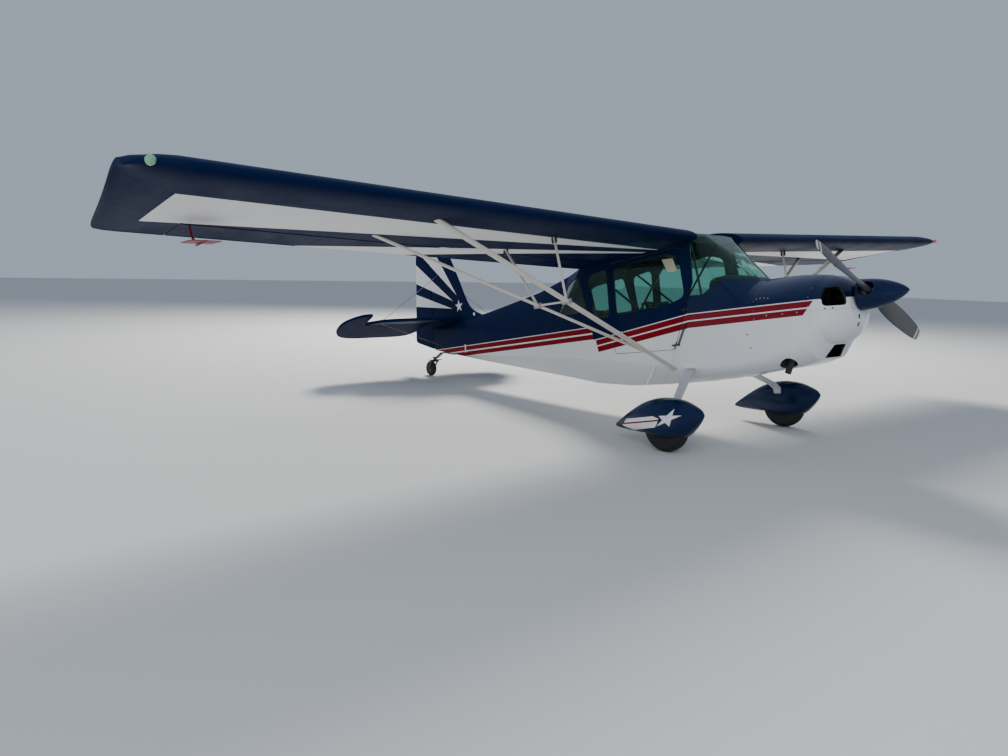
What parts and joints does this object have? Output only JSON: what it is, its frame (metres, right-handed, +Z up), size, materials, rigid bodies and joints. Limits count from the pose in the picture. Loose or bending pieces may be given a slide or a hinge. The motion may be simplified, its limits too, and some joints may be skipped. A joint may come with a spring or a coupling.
{
  "type": "light aircraft",
  "caption": "Two-seat tandem high-wing light aircraft with strut-braced wings, wheel pants, a steerable tailwheel, a nose propeller and balance spades on the ailerons.",
  "frame": {"origin": "on the ground under the centre of the aircraft's box, as it stands on its three wheels", "axes": "+X to the nose, +Y to port along the wing, +Z up; the fuselage is pitched nose up"},
  "size_m": [6.9158, 10.44, 2.1394],
  "materials": {
    "navy_paint": "gloss",
    "white_paint": "gloss",
    "red_paint": "gloss",
    "grey_paint": "satin",
    "strut_paint": "satin",
    "blade_paint": "satin",
    "black_trim": "matte",
    "black_tube": "satin",
    "steel": "satin",
    "hub_metal": "satin",
    "engine_metal": "cast",
    "tyre": "matte",
    "red_leather": "soft",
    "glass": "tinted"
  },
  "bodies": {
    "airframe": {"cabin_shell": "navy_paint", "boot_cowl": "white_paint", "tail_cone": "navy_paint", "windshield": "glass", "skylight": "glass", "window_left_front": "glass", "window_rear_left": "glass", "window_rear_right": "glass", "window_quarter_left": "glass", "window_quarter_right": "glass", "floor": "black_trim", "instrument_panel": "black_trim", "seat_front": "red_leather", "seat_rear": "red_leather", "control_sticks": "black_trim", "cabin_frame": "black_tube", "wing_left": "navy_paint", "wing_right": "navy_paint", "wing_strut_left": "strut_paint", "wing_strut_right": "strut_paint", "fin": "navy_paint", "stabilizer": "navy_paint", "tail_stay_left": "steel", "tail_stay_right": "steel", "gear_leg_left": "grey_paint", "gear_leg_right": "grey_paint", "wheel_pant_left": "navy_paint", "wheel_pant_right": "navy_paint", "axle_left": "steel", "axle_right": "steel", "tail_spring": "steel", "engine_block": "engine_metal", "exhaust_pipe": "steel", "cowl_upper": "navy_paint", "cowl_lower": "white_paint", "nose_bowl_upper": "navy_paint", "nose_bowl_lower": "white_paint", "boarding_step": "strut_paint", "nav_light_left": "glass", "nav_light_right": "glass"},
    "propeller": {"propeller": "blade_paint", "spinner": "navy_paint"},
    "wheel_left": {"main_tyre_left": "tyre", "main_hub_left": "hub_metal"},
    "wheel_right": {"main_tyre_right": "tyre", "main_hub_right": "hub_metal"},
    "tail_caster": {"tailwheel_fork": "steel"},
    "tail_wheel": {"tailwheel_tyre": "tyre", "tailwheel_hub": "hub_metal"},
    "rudder": {"rudder": "navy_paint", "tail_light": "glass"},
    "elevator": {"elevator": "navy_paint"},
    "aileron_left": {"aileron_left": "white_paint", "spade_left": "red_paint"},
    "aileron_right": {"aileron_right": "white_paint", "spade_right": "red_paint"},
    "flap_left": {"flap_left": "white_paint"},
    "flap_right": {"flap_right": "white_paint"},
    "door": {"door": "navy_paint", "door_window": "glass"}
  },
  "joints": [
    {"name": "propeller_spin", "type": "hinge", "parent": "airframe", "child": "propeller", "pos_m": [3.16443, 0, 1.43066], "axis": [0.9882, 0, 0.153], "continuous": true},
    {"name": "wheel_left_spin", "type": "hinge", "parent": "airframe", "child": "wheel_left", "pos_m": [1.92369, 0.98, 0.222], "axis": [0, 1, 0], "continuous": true},
    {"name": "wheel_right_spin", "type": "hinge", "parent": "airframe", "child": "wheel_right", "pos_m": [1.92369, -0.98, 0.222], "axis": [0, 1, 0], "continuous": true},
    {"name": "tailwheel_steer", "type": "hinge", "parent": "airframe", "child": "tail_caster", "pos_m": [-2.95431, 0, 0.24], "axis": [0, 0, 1], "range_deg": [-25, 25]},
    {"name": "tailwheel_spin", "type": "hinge", "parent": "tail_caster", "child": "tail_wheel", "pos_m": [-3.04631, 0, 0.105], "axis": [0, 1, 0], "continuous": true},
    {"name": "rudder_hinge", "type": "hinge", "parent": "airframe", "child": "rudder", "pos_m": [-3.02849, 0, 0.95361], "axis": [-0.153, 0, 0.9882], "range_deg": [-25, 25]},
    {"name": "elevator_hinge", "type": "hinge", "parent": "airframe", "child": "elevator", "pos_m": [-2.95945, 0, 0.78216], "axis": [0, 1, 0], "range_deg": [0, 45]},
    {"name": "aileron_left_hinge", "type": "hinge", "parent": "airframe", "child": "aileron_left", "pos_m": [0.524, 3.5, 1.80387], "axis": [-0.0059, 0.9993, 0.0379], "range_deg": [-20, 20]},
    {"name": "aileron_right_hinge", "type": "hinge", "parent": "airframe", "child": "aileron_right", "pos_m": [0.524, -3.5, 1.80387], "axis": [0.0059, 0.9993, -0.0379], "range_deg": [-20, 20]},
    {"name": "flap_left_hinge", "type": "hinge", "parent": "airframe", "child": "flap_left", "pos_m": [0.53617, 1.43, 1.72528], "axis": [0.0059, -0.9993, -0.0379], "range_deg": [0, 35]},
    {"name": "flap_right_hinge", "type": "hinge", "parent": "airframe", "child": "flap_right", "pos_m": [0.53617, -1.43, 1.72528], "axis": [-0.0059, -0.9993, 0.0379], "range_deg": [0, 35]},
    {"name": "door_hinge", "type": "hinge", "parent": "airframe", "child": "door", "pos_m": [1.61084, -0.381, 1.24682], "axis": [0.2321, 0, 0.9727], "range_deg": [0, 72]}
  ],
  "couplings": [
    {"joint": "aileron_right_hinge", "follows": "aileron_left_hinge", "ratio": -1},
    {"joint": "flap_right_hinge", "follows": "flap_left_hinge", "ratio": 1}
  ]
}
